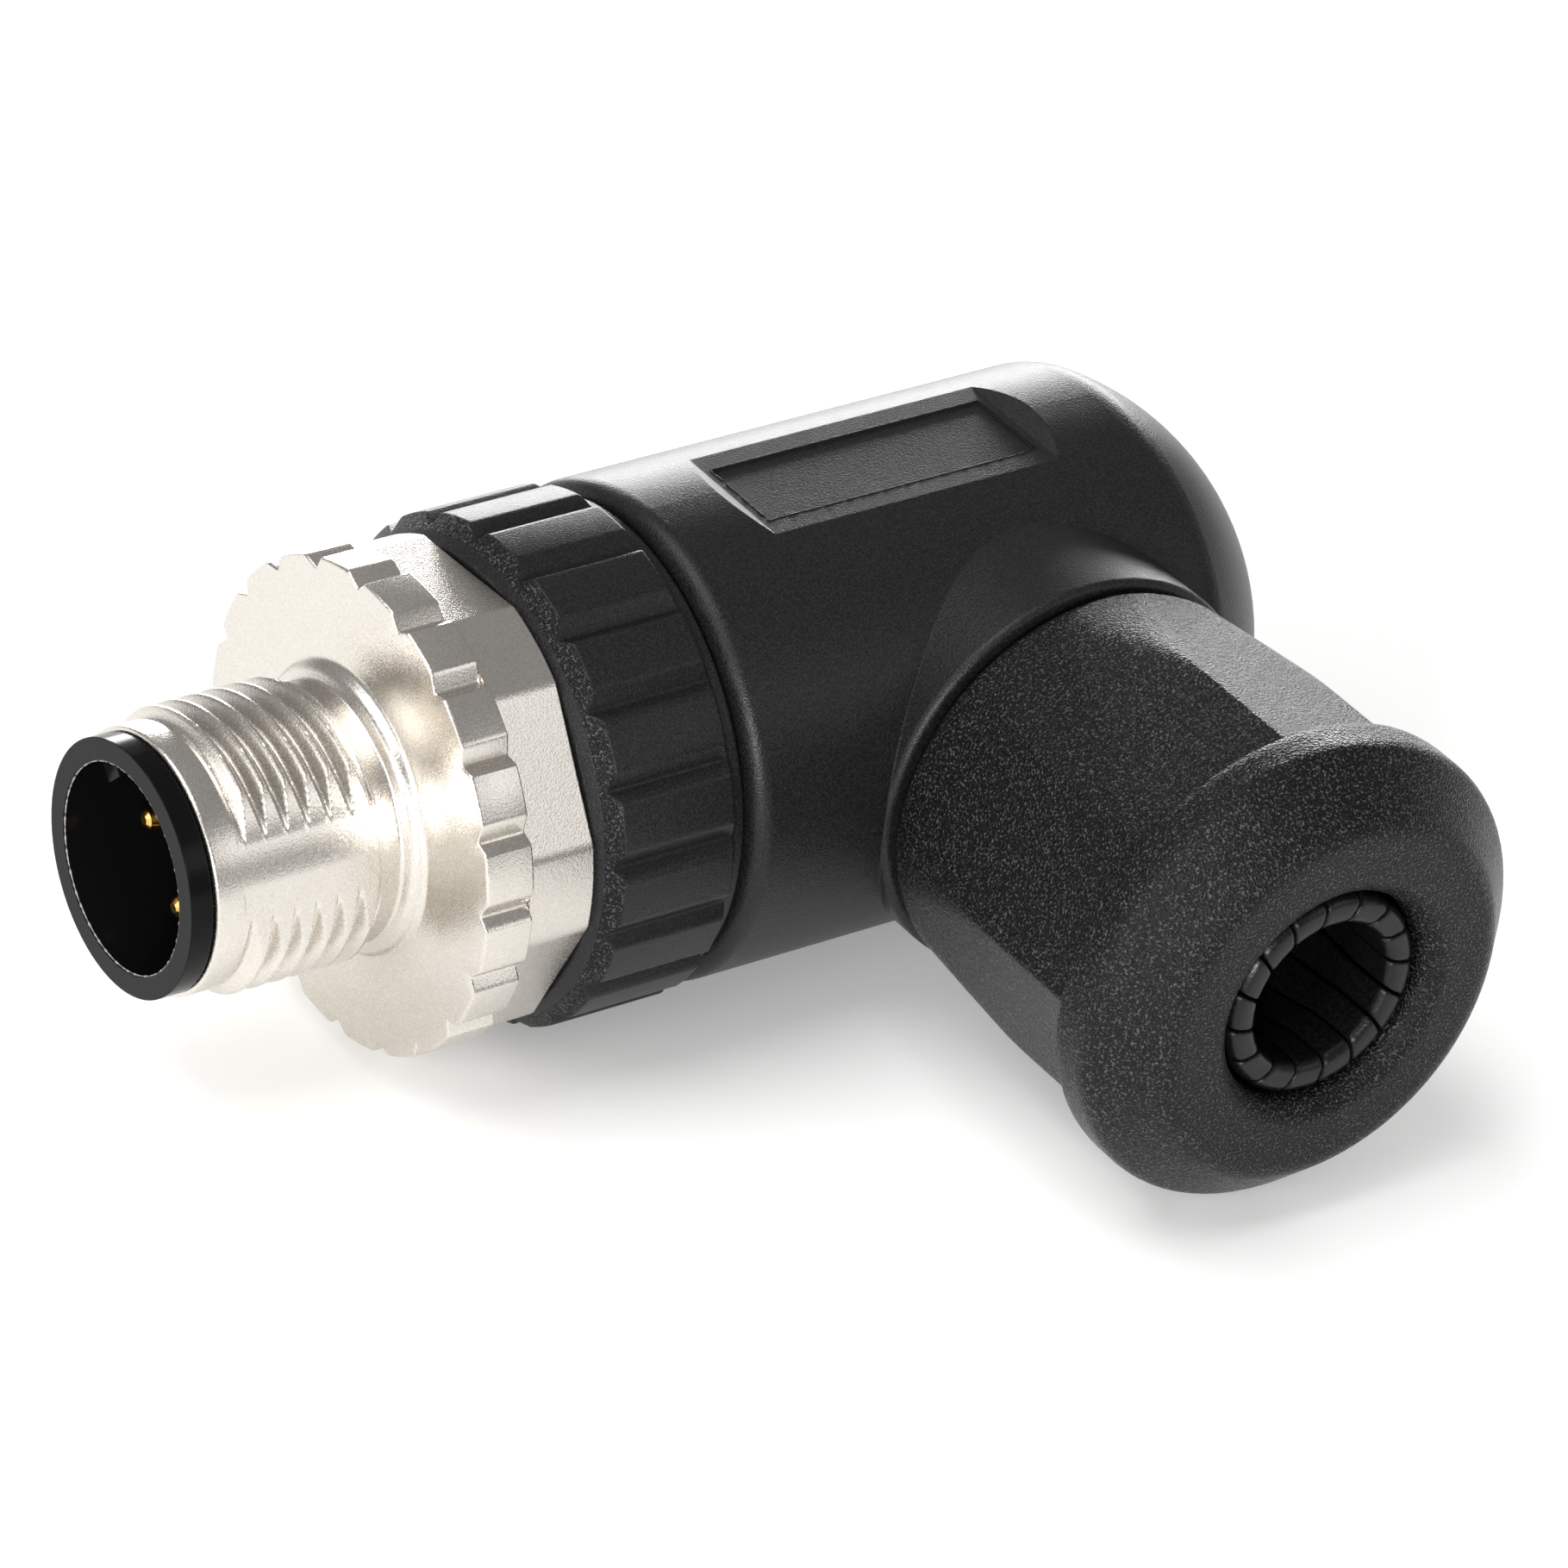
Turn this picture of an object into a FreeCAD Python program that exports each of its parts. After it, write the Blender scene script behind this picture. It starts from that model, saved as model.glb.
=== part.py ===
import FreeCAD, Part
import math
import os
import re
import Sketcher

# M12 right-angle cable connector, male, four pins, A-coded. Lengths in mm, angles in degrees.
# The centre of the mating face is the origin, the mating axis runs along +X, the cable
# leaves along -Y and the marker field faces +Z.

sizes = {
    # contact insert, from the mating face
    "shroud_radius": 5.4,
    "shroud_bore": 4.42,
    "shroud_band": 1.0,
    "rim_bevel": 0.04,
    "cavity_depth": 8.6,
    "key_width": 1.0,
    "key_height": 0.9,
    "key_start": 1.0,
    "key_turn": 45,
    "tube_radius": 4.95,
    "tail_radius": 4.5,
    "tail_length": 3.5,
    # contacts
    "pin_circle": 2.65,
    "pin_radius": 0.5,
    "pin_start": 2.65,
    "pin_taper": 0.28,
    "stem_radius": 0.7,
    "shoulder_depth": 0.8,
    "barrel_wall": 1.9,
    "barrel_radius": 1.4,
    "barrel_length": 9.0,
    "wire_radius": 0.8,
    "wire_depth": 6.5,
    "tip_length": 0.45,
    # terminal screws
    "screw_radius": 0.8,
    "screw_length": 2.4,
    "screw_tip": 3.4,
    "screw_place": 5.0,
    "slot_width": 0.35,
    "slot_depth": 0.5,
    # coupling screw
    "sleeve_radius": 5.58,
    "sleeve_bevel": 0.15,
    "thread_radius": 5.97,
    "thread_start": 2.75,
    "thread_end": 8.95,
    "relief_radius": 5.45,
    "relief_end": 9.9,
    "bead_radius": 6.05,
    "bead_place": 10.32,
    "flange_place": 10.6,
    "flange_thickness": 2.2,
    "flange_drop": 0.2,
    "edge_bevel": 0.15,
    "hexagon_length": 3.1,
    "flat_drop": 1.1,
    "corner_drop": 0.53,
    "hexagon_turn": 56.6,
    "band_height": 5.55,
    "band_turn": 77.5,
    "bore_wall": 3.0,
    # grip teeth of flange and union ring
    "flange_teeth": 20,
    "flange_turn": 14,
    "union_teeth": 20,
    "union_turn": 10,
    "notch_depth": 0.5,
    "tooth_back": 5.2,
    "tooth_front": 3.4,
    # terminal carrier
    "neck_wall": 2.85,
    "collar_drop": 0.35,
    "collar_thickness": 1.8,
    "drum_gap": 0.5,
    "drum_length": 11.0,
    # rings
    "washer_thickness": 0.5,
    "seal_section": 0.5,
    "seal_place": 2.0,
    # union ring
    "union_length": 7.15,
    "union_lip": 1.3,
    "union_rise": 0.15,
    "face_drop": 1.05,
    "waist_drop": 0.6,
    "union_lead": 0.4,
    "rib_lead": 0.95,
    "rib_end": 6.35,
    "skirt_drop": 0.75,
    "union_wall": 1.55,
    # housing, its barrel along the mating axis
    "housing_gap": 0.2,
    "housing_radius": 10.65,
    "rim_round": 0.8,
    "dome_bulge": 1.12,
    "dome_length": 14.64,
    "dome_round": 2.2,
    "spigot_wall": 1.25,
    "dome_wall": 3.14,
    "marker_place": 28.2,
    "marker_length": 14.2,
    "marker_depth": 0.48,
    "marker_lead": 0.82,
    "panel_inset": 0.35,
    "panel_width": 4.3,
    "panel_depth": 0.12,
    # cable branch, outwards from the mating axis
    "branch_place": 38.9,
    "boss_radius": 9.15,
    "boss_rise": 0.1,
    "boss_round": 0.35,
    "branch_drop": 3.25,
    "branch_length": 8.75,
    "seat_radius": 5.4,
    "seat_depth": 7.5,
    "branch_bore": 4.6,
    "cable_radius": 3.25,
    # gland nut
    "nut_gap": 0.2,
    "nut_inset": 0.15,
    "collar_rise": 0.75,
    "cone_rise": 0.73,
    "mouth_drop": 0.37,
    "cone_back": 10.65,
    "flare_back": 7.15,
    "collar_back": 4.05,
    "edge_back": 2.45,
    "face_slope": 2.55,
    "nut_hole": 4.81,
    "lip_round": 0.65,
    "facet_count": 8,
    "facet_drop": 0.8,
    "facet_back": 4.35,
    "facet_turn": 1,
    "squeeze_gap": 0.4,
    "squeeze_length": 5.3,
    "squeeze_drop": 0.5,
    "hole_length": 1.85,
    # clamping cage
    "cage_ring": 1.4,
    "cage_drop": 0.2,
    "cage_bore": 4.6,
    "finger_count": 16,
    "finger_radius": 4.6,
    "finger_reach": 1.25,
    "finger_round": 0.35,
    "slit_width": 0.24,
    "slit_turn": 11.5,
    "slit_offset": 1.27,
    # clearances
    "turn_gap": 0.1,
    "seat_gap": 0.05,
}

# Radii that follow from the sizes.
unionRadius = "(housing_radius + union_rise)"
unionWaist = f"({unionRadius} - waist_drop)"
unionNotch = f"({unionRadius} - notch_depth)"
spigotRadius = f"({unionRadius} - union_wall)"
neckRadius = "(tail_radius + seat_gap + neck_wall)"
housingBore = f"({spigotRadius} - spigot_wall)"
drumRadius = f"({housingBore} - drum_gap)"
flangeRadius = "(housing_radius - flange_drop)"
cornerRadius = "(housing_radius - corner_drop)"
domeRadius = "(housing_radius + dome_bulge)"
markerFloor = "(housing_radius - marker_depth)"
branchRadius = "(housing_radius - branch_drop)"
cageRadius = f"({branchRadius} - cage_drop)"
squeezeRadius = f"({branchRadius} - squeeze_drop)"
nutBore = f"({branchRadius} + turn_gap)"
nutCollar = "(housing_radius - nut_inset)"
nutRidge = f"({nutCollar} - collar_rise)"
nutWaist = f"({nutRidge} - cone_rise)"

# Places along the mating axis that follow from the sizes.
hexagonEnd = "(flange_place + flange_thickness + hexagon_length)"
washerFloor = f"({hexagonEnd} - bore_wall)"
carrierFront = f"({washerFloor} + washer_thickness + 2 * seat_gap)"
unionFront = f"({hexagonEnd} + turn_gap)"
collarFront = f"({unionFront} + union_lip + seat_gap)"
collarBack = f"({collarFront} + collar_thickness)"
spigotFront = f"({collarBack} + seat_gap)"
drumEnd = f"({collarBack} + drum_length)"
tailEnd = f"({carrierFront} + tail_length)"
barrelFront = f"({tailEnd} + barrel_wall)"
shoulderPlace = "(cavity_depth + shoulder_depth)"
unionEnd = f"({unionFront} + union_length)"
housingFront = f"({unionEnd} + housing_gap)"
domeApex = "(branch_place + dome_length)"

# Places along the cable branch.
bossReach = "(housing_radius + boss_rise)"
branchReach = f"({bossReach} + branch_length)"
washerPlace = f"({branchReach} + seat_gap)"
cagePlace = f"({washerPlace} + washer_thickness + seat_gap)"
ringEnd = f"({cagePlace} + cage_ring)"
squeezeStart = f"({ringEnd} + squeeze_gap)"
squeezeEnd = f"({squeezeStart} + squeeze_length)"
fingerEnd = f"({squeezeEnd} + finger_reach)"
nutFront = f"({bossReach} + nut_gap)"
nutEnd = f"({squeezeEnd} + hole_length)"

document = FreeCAD.newDocument("Connector")
sheet = document.addObject("Spreadsheet::Sheet", "Sizes")
for row, (alias, value) in enumerate(sizes.items(), start=1):
    sheet.set(f"A{row}", alias)
    sheet.set(f"B{row}", str(value))
    sheet.setAlias(f"B{row}", alias)
document.recompute()

pieces = []


def formula(text):
    """Sheet expression for a text in which every word with an underscore names a size."""
    return re.sub(r"[a-z]+(?:_[a-z]+)+", r"Sizes.\g<0>", str(text))


def bind(thing, name, text):
    thing.setExpression(name, formula(text))


def piece(label):
    body = document.addObject("PartDesign::Body", label)
    body.Label = label
    body.Placement = FreeCAD.Placement()
    pieces.append(body)
    return body


def branchPiece(label):
    """Body whose own X axis lies on the cable branch and points outwards."""
    body = piece(label)
    outwards = FreeCAD.Rotation(FreeCAD.Vector(0, 0, 1), -90)
    body.Placement = FreeCAD.Placement(FreeCAD.Vector(), outwards)
    bind(body, "Placement.Base.x", "branch_place")
    return body


def origin(body, role):
    """Plane or axis of a body's own origin."""
    return [feature for feature in body.Origin.OriginFeatures if feature.Role == role][0]


def outline(body, name, plane, points, height=None, shift=None, lift=None):
    """Closed sketch with straight sides whose corners are pairs of size expressions."""
    sketch = body.newObject("Sketcher::SketchObject", name)
    sketch.AttachmentSupport = (origin(body, plane), "")
    sketch.MapMode = "FlatFace"
    if height is not None:
        bind(sketch, "AttachmentOffset.Base.z", height)
    if shift is not None:
        bind(sketch, "AttachmentOffset.Base.x", shift)
    if lift is not None:
        bind(sketch, "AttachmentOffset.Base.y", lift)
    count = len(points)
    start = []
    for index in range(count):
        angle = 2 * math.pi * index / count
        start.append(FreeCAD.Vector(math.cos(angle), math.sin(angle), 0))
    for index in range(count):
        sketch.addGeometry(Part.LineSegment(start[index], start[(index + 1) % count]))
    for index in range(count):
        following = (index + 1) % count
        sketch.addConstraint(Sketcher.Constraint("Coincident", index, 2, following, 1))
    for index, (across, up) in enumerate(points):
        for kind, text in (("DistanceX", across), ("DistanceY", up)):
            rule = Sketcher.Constraint(kind, -1, 1, index, 1, 1.0)
            number = sketch.addConstraint(rule)
            sketch.setExpression(f"Constraints[{number}]", formula(text))
    return sketch


def turned(body, name, points, cut=False, axis="H_Axis", plane="XZ_Plane", **offsets):
    """Full turn of an outline: a revolution, or a groove if it cuts."""
    sketch = outline(body, f"{name}Outline", plane, points, **offsets)
    kind = "PartDesign::Groove" if cut else "PartDesign::Revolution"
    feature = body.newObject(kind, name)
    feature.Profile = sketch
    feature.ReferenceAxis = (sketch, [axis])
    feature.Angle = 360
    return feature


def raised(body, name, plane, points, height, length, cut=False):
    """Straight pad upwards from a height, or a pocket downwards from it."""
    sketch = outline(body, f"{name}Outline", plane, points, height)
    kind = "PartDesign::Pocket" if cut else "PartDesign::Pad"
    feature = body.newObject(kind, name)
    feature.Profile = sketch
    bind(feature, "Length", length)
    return feature


def repeated(body, feature, count):
    """Equal copies of a feature round the body's own X axis."""
    pattern = body.newObject("PartDesign::PolarPattern", f"{feature.Name}Ring")
    pattern.Originals = [feature]
    pattern.Axis = (origin(body, "X_Axis"), [""])
    pattern.Angle = 360
    bind(pattern, "Occurrences", count)
    body.Tip = pattern
    return pattern


def eased(body, name, radius, wanted):
    """Fillet on the circular edges of the tip that the test picks."""
    document.recompute()
    base = body.Tip
    names = []
    for number, edge in enumerate(base.Shape.Edges, start=1):
        if edge.Degenerated:
            continue
        if isinstance(edge.Curve, Part.Circle) and wanted(edge.Curve):
            names.append(f"Edge{number}")
    fillet = body.newObject("PartDesign::Fillet", name)
    fillet.Base = (base, names)
    bind(fillet, "Radius", radius)
    return fillet


def polar(radius, angle):
    """Point in a plane across the X axis, its angle from +Z towards -Y."""
    return (f"-({radius}) * sin({angle})", f"({radius}) * cos({angle})")


def bar(left, right, inner, outer, angle):
    """Corners of a bar along a radius, its two sides measured from that radius."""
    corners = []
    for side, height in ((left, inner), (right, inner), (right, outer), (left, outer)):
        across = f"-({height}) * sin({angle}) - ({side}) * cos({angle})"
        up = f"({height}) * cos({angle}) - ({side}) * sin({angle})"
        corners.append((across, up))
    return corners


def ring(front, inner, back, outer):
    """Outline of a plain ring between two places and two radii."""
    return [(front, inner), (back, inner), (back, outer), (front, outer)]


def teeth(body, name, turn, notch, crest, end, length, count):
    """Saw teeth round a grip, with one long slope and one short slope to each notch."""
    corners = [
        polar(f"1.03 * {crest}", f"{turn} - tooth_back"),
        polar(notch, turn),
        polar(f"1.03 * {crest}", f"{turn} + tooth_front"),
    ]
    cut = raised(body, name, "YZ_Plane", corners, end, length, cut=True)
    repeated(body, cut, count)


def contactInsert():
    body = piece("contact_insert")
    turned(body, "Shroud", [
        ("0", "0"),
        ("0", "shroud_radius"),
        ("shroud_band", "shroud_radius"),
        ("shroud_band", "tube_radius"),
        (f"{carrierFront} - seat_gap", "tube_radius"),
        (f"{carrierFront} - seat_gap", "tail_radius"),
        (tailEnd, "tail_radius"),
        (tailEnd, "0"),
    ])
    turned(body, "Cavity", [
        ("-1 * rim_bevel", "0"),
        ("-1 * rim_bevel", "shroud_bore + 2 * rim_bevel"),
        ("rim_bevel", "shroud_bore"),
        ("cavity_depth", "shroud_bore"),
        ("cavity_depth", "0"),
    ], cut=True)
    key = bar(
        "-0.5 * key_width", "0.5 * key_width",
        "shroud_bore - key_height", "shroud_bore + 0.3", "-1 * key_turn",
    )
    raised(body, "Key", "YZ_Plane", key, "key_start", "cavity_depth - key_start + 0.2")
    holes = turned(body, "ContactHole", [
        ("cavity_depth - 0.5", "0"),
        ("cavity_depth - 0.5", "pin_radius + 0.4 * seat_gap"),
        (shoulderPlace, "pin_radius + 0.4 * seat_gap"),
        (shoulderPlace, "stem_radius + 0.4 * seat_gap"),
        (f"{tailEnd} + 0.5", "stem_radius + 0.4 * seat_gap"),
        (f"{tailEnd} + 0.5", "0"),
    ], cut=True, lift="pin_circle")
    repeated(body, holes, 4)


def contactPin(number, angle):
    body = piece(f"contact_pin_{number}")
    body.Placement = FreeCAD.Placement(
        FreeCAD.Vector(), FreeCAD.Rotation(FreeCAD.Vector(1, 0, 0), angle)
    )
    bind(body, "Placement.Base.y", f"-pin_circle * sin({angle})")
    bind(body, "Placement.Base.z", f"pin_circle * cos({angle})")
    barrelEnd = f"({barrelFront} + barrel_length)"
    turned(body, "Contact", [
        ("pin_start", "0"),
        ("pin_start", "pin_radius - pin_taper"),
        ("pin_start + 0.3 * tip_length", "pin_radius - 0.35 * pin_taper"),
        ("pin_start + tip_length", "pin_radius"),
        (f"{shoulderPlace} + 0.4 * seat_gap", "pin_radius"),
        (f"{shoulderPlace} + 0.4 * seat_gap", "stem_radius"),
        (f"{barrelFront} + seat_gap", "stem_radius"),
        (f"{barrelFront} + seat_gap", "barrel_radius"),
        (barrelEnd, "barrel_radius"),
        (barrelEnd, "wire_radius"),
        (f"{barrelEnd} - wire_depth", "wire_radius"),
        (f"{barrelEnd} - wire_depth", "0"),
    ])
    turned(body, "ScrewHole", [
        ("0", "0"),
        ("screw_radius + 0.4 * seat_gap", "0"),
        ("screw_radius + 0.4 * seat_gap", "barrel_radius + 0.3"),
        ("0", "barrel_radius + 0.3"),
    ], cut=True, axis="V_Axis", shift=f"{barrelFront} + screw_place")


def terminalCarrier():
    body = piece("terminal_carrier")
    socket = "(tail_radius + seat_gap)"
    sealFloor = f"({housingBore} - 2 * seal_section - 0.8 * seat_gap)"
    sealFront = f"({collarBack} + seal_place - seal_section - seat_gap)"
    sealBack = f"({collarBack} + seal_place + seal_section + seat_gap)"
    turned(body, "Carrier", [
        (carrierFront, socket),
        (carrierFront, neckRadius),
        (collarFront, neckRadius),
        (collarFront, f"{spigotRadius} - collar_drop"),
        (collarBack, f"{spigotRadius} - collar_drop"),
        (collarBack, drumRadius),
        (sealFront, drumRadius),
        (sealFront, sealFloor),
        (sealBack, sealFloor),
        (sealBack, drumRadius),
        (drumEnd, drumRadius),
        (drumEnd, "0"),
        (f"{tailEnd} + seat_gap", "0"),
        (f"{tailEnd} + seat_gap", socket),
    ])
    seats = turned(body, "BarrelSeat", [
        (tailEnd, "0"),
        (tailEnd, "stem_radius + 0.4 * seat_gap"),
        (barrelFront, "stem_radius + 0.4 * seat_gap"),
        (barrelFront, "barrel_radius + seat_gap"),
        (f"{drumEnd} + 0.5", "barrel_radius + seat_gap"),
        (f"{drumEnd} + 0.5", "0"),
    ], cut=True, lift="pin_circle")
    repeated(body, seats, 4)
    shafts = turned(body, "ScrewShaft", [
        ("0", "pin_circle"),
        ("screw_radius + turn_gap", "pin_circle"),
        ("screw_radius + turn_gap", f"{drumRadius} + 0.5"),
        ("0", f"{drumRadius} + 0.5"),
    ], cut=True, axis="V_Axis", shift=f"{barrelFront} + screw_place")
    repeated(body, shafts, 4)


def terminalScrew(angle):
    """One slotted grub screw, pointing away from the mating axis."""
    shank = document.addObject("Part::Cylinder", "Shank")
    bind(shank, "Radius", "screw_radius")
    bind(shank, "Height", "screw_length")
    slot = document.addObject("Part::Box", "Slot")
    bind(slot, "Length", "slot_width")
    bind(slot, "Width", "2.4 * screw_radius")
    bind(slot, "Height", "2 * slot_depth")
    bind(slot, "Placement.Base.x", "-0.5 * slot_width")
    bind(slot, "Placement.Base.y", "-1.2 * screw_radius")
    bind(slot, "Placement.Base.z", "screw_length - slot_depth")
    screw = document.addObject("Part::Cut", "Screw")
    screw.Base = shank
    screw.Tool = slot
    screw.Placement = FreeCAD.Placement(
        FreeCAD.Vector(), FreeCAD.Rotation(FreeCAD.Vector(1, 0, 0), angle)
    )
    bind(screw, "Placement.Base.x", f"{barrelFront} + screw_place")
    bind(screw, "Placement.Base.y", f"-screw_tip * sin({angle})")
    bind(screw, "Placement.Base.z", f"screw_tip * cos({angle})")
    return screw


def terminalScrews():
    group = document.addObject("Part::Compound", "terminal_screws")
    group.Label = "terminal_screws"
    group.Links = [terminalScrew(angle) for angle in (0, 90, 180, 270)]
    pieces.append(group)


def couplingScrew():
    body = piece("coupling_screw")
    bore = "(tube_radius + turn_gap)"
    sleeveFront = "(shroud_band + turn_gap)"
    flangeEnd = "(flange_place + flange_thickness)"
    seat = f"({neckRadius} + turn_gap)"
    turned(body, "Sleeve", [
        (sleeveFront, bore),
        (sleeveFront, "sleeve_radius - sleeve_bevel"),
        (f"{sleeveFront} + sleeve_bevel", "sleeve_radius"),
        ("thread_start - 0.35", "sleeve_radius"),
        ("thread_start", "thread_radius"),
        ("thread_end - 0.3", "thread_radius"),
        ("thread_end", "relief_radius"),
        ("relief_end", "relief_radius"),
        ("bead_place - 0.2", "bead_radius - 0.12"),
        ("bead_place", "bead_radius"),
        ("flange_place - 0.1", "bead_radius + 0.12"),
        ("flange_place", "bead_radius + 0.6"),
        ("flange_place", f"{flangeRadius} - edge_bevel"),
        ("flange_place + edge_bevel", flangeRadius),
        (flangeEnd, flangeRadius),
        (flangeEnd, cornerRadius),
        (f"{hexagonEnd} - edge_bevel", cornerRadius),
        (hexagonEnd, f"{cornerRadius} - edge_bevel"),
        (hexagonEnd, seat),
        (washerFloor, seat),
        (washerFloor, bore),
    ])
    band = bar("-3", "3", "band_height", "1.3 * thread_radius", "band_turn")
    bands = raised(
        body, "Band", "YZ_Plane", band, "thread_end", "thread_end - thread_start + 0.4", cut=True
    )
    repeated(body, bands, 2)
    flat = bar(
        f"-0.7 * {cornerRadius}", f"0.7 * {cornerRadius}",
        "(housing_radius - flat_drop)", f"1.2 * {cornerRadius}", "hexagon_turn",
    )
    flats = raised(body, "Flat", "YZ_Plane", flat, hexagonEnd, "hexagon_length", cut=True)
    repeated(body, flats, 6)
    teeth(
        body, "FlangeNotch", "flange_turn", f"({flangeRadius} - notch_depth)", flangeRadius,
        flangeEnd, "flange_thickness + 0.2", "flange_teeth",
    )


def frictionWasher():
    body = piece("friction_washer")
    front = f"({washerFloor} + seat_gap)"
    back = f"({front} + washer_thickness)"
    turned(body, "Washer", ring(front, "tube_radius + turn_gap", back, f"{neckRadius} - turn_gap"))


def unionRing():
    body = piece("union_ring")
    lipBore = f"({neckRadius} + turn_gap)"
    threadBore = f"({spigotRadius} + turn_gap)"
    ribEnd = f"({unionFront} + rib_end)"
    turned(body, "Ring", [
        (unionFront, lipBore),
        (unionFront, f"{unionRadius} - face_drop"),
        (f"{unionFront} + union_lead", unionWaist),
        (f"{unionFront} + rib_lead", unionRadius),
        (f"{ribEnd} - edge_bevel", unionRadius),
        (f"{ribEnd} + edge_bevel", unionWaist),
        (f"{unionEnd} - edge_bevel", unionWaist),
        (unionEnd, f"{unionRadius} - skirt_drop"),
        (unionEnd, threadBore),
        (f"{unionFront} + union_lip", threadBore),
        (f"{unionFront} + union_lip", lipBore),
    ])
    teeth(
        body, "RingNotch", "union_turn", unionNotch, unionRadius,
        ribEnd, "rib_end", "union_teeth",
    )


def housingSeal():
    """Round sealing cord in the groove of the terminal carrier."""
    seal = document.addObject("Part::Torus", "housing_seal")
    seal.Label = "housing_seal"
    bind(seal, "Radius1", f"{housingBore} - seal_section - 0.4 * seat_gap")
    bind(seal, "Radius2", "seal_section")
    across = FreeCAD.Rotation(FreeCAD.Vector(0, 1, 0), 90)
    seal.Placement = FreeCAD.Placement(FreeCAD.Vector(), across)
    bind(seal, "Placement.Base.x", f"{collarBack} + seal_place")
    pieces.append(seal)


def housing():
    body = piece("housing")
    domeCentre = f"({domeApex} - {domeRadius})"
    turned(body, "Barrel", [
        (spigotFront, "0"),
        (spigotFront, spigotRadius),
        (housingFront, spigotRadius),
        (housingFront, "housing_radius"),
        (domeCentre, "housing_radius"),
        (domeCentre, "0"),
    ])
    dome = body.newObject("PartDesign::AdditiveSphere", "Dome")
    bind(dome, "Radius", domeRadius)
    bind(dome, "Placement.Base.x", domeCentre)
    trim = ring(
        f"{domeCentre} - 1.1 * {domeRadius}", "housing_radius",
        f"{domeCentre} + 1.1 * {domeRadius}", f"1.3 * {domeRadius}",
    )
    turned(body, "DomeTrim", trim, cut=True)
    eased(body, "DomeRound", "dome_round", lambda circle: (
        abs(circle.Radius - sizes["housing_radius"]) < 0.01
        and circle.Center.x > sizes["branch_place"]
    ))
    turned(body, "Branch", [
        ("0", "0"),
        ("boss_radius", "0"),
        ("boss_radius", f"-{bossReach}"),
        (branchRadius, f"-{bossReach}"),
        (branchRadius, f"-{branchReach}"),
        ("0", f"-{branchReach}"),
    ], axis="V_Axis", plane="XY_Plane", shift="branch_place")
    boreEnd = f"({domeApex} - dome_wall)"
    turned(body, "Bore", [
        (f"{spigotFront} - 1", "0"),
        (f"{spigotFront} - 1", housingBore),
        (f"{boreEnd} - 0.56 * {housingBore}", housingBore),
        (boreEnd, f"0.5 * {housingBore}"),
        (boreEnd, "0"),
    ], cut=True)
    seatFloor = f"(seat_depth - {branchReach})"
    turned(body, "BranchBore", [
        ("0", "0"),
        ("branch_bore", "0"),
        ("branch_bore", seatFloor),
        ("seat_radius", seatFloor),
        ("seat_radius", f"-{branchReach} - 1"),
        ("0", f"-{branchReach} - 1"),
    ], cut=True, axis="V_Axis", plane="XY_Plane", shift="branch_place")
    eased(body, "RimRound", "rim_round", lambda circle: (
        abs(circle.Radius - sizes["housing_radius"]) < 0.01
        and circle.Center.x < sizes["marker_place"]
    ))
    eased(body, "BossRound", "boss_round", lambda circle: (
        abs(circle.Radius - sizes["boss_radius"]) < 0.01
        and circle.Center.y < -sizes["housing_radius"]
    ))
    markerEnd = "(marker_place + marker_length)"
    above = "(housing_radius + marker_depth)"
    field = [
        ("marker_place", markerFloor),
        (markerEnd, markerFloor),
        (f"{markerEnd} + 2 * marker_lead", above),
        ("marker_place - 2 * marker_lead", above),
    ]
    raised(body, "Marker", "XZ_Plane", field, "0.5 * housing_radius", "housing_radius", cut=True)
    panel = [
        ("marker_place + panel_inset", "-0.5 * panel_width"),
        (f"{markerEnd} - panel_inset", "-0.5 * panel_width"),
        (f"{markerEnd} - panel_inset", "0.5 * panel_width"),
        ("marker_place + panel_inset", "0.5 * panel_width"),
    ]
    raised(body, "Panel", "XY_Plane", panel, markerFloor, "panel_depth", cut=True)


def cableSeal():
    body = branchPiece("cable_seal")
    front = f"({branchReach} - seat_depth + seat_gap)"
    back = f"({branchReach} - seat_gap)"
    turned(body, "Seal", [
        (front, "cable_radius"),
        (back, "cable_radius"),
        (back, "seat_radius - seat_gap"),
        (f"{front} + 0.6", "seat_radius - seat_gap"),
        (front, "seat_radius - seat_gap - 0.5"),
    ])


def slipWasher():
    body = branchPiece("slip_washer")
    back = f"({washerPlace} + washer_thickness)"
    turned(body, "Washer", ring(washerPlace, "cable_radius + turn_gap", back, cageRadius))


def clampCage():
    body = branchPiece("clamp_cage")
    turned(body, "Cage", [
        (cagePlace, "cage_bore"),
        (cagePlace, cageRadius),
        (ringEnd, cageRadius),
        (ringEnd, f"{squeezeRadius} - 0.6 * turn_gap"),
        (squeezeEnd, "finger_radius"),
        (f"{fingerEnd} - finger_round", "finger_radius"),
        (fingerEnd, "finger_radius - finger_round"),
        (fingerEnd, "cable_radius + finger_round"),
        (f"{fingerEnd} - finger_round", "cable_radius"),
        (f"{squeezeEnd} - 1", "cable_radius"),
    ])
    slit = bar(
        "slit_offset - 0.5 * slit_width", "slit_offset + 0.5 * slit_width",
        "0.5 * cable_radius", f"1.2 * {cageRadius}", "slit_turn",
    )
    slits = raised(
        body, "Slit", "YZ_Plane", slit, f"{fingerEnd} + 0.5",
        f"{fingerEnd} + 0.1 - {ringEnd}", cut=True,
    )
    repeated(body, slits, "finger_count")


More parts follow.
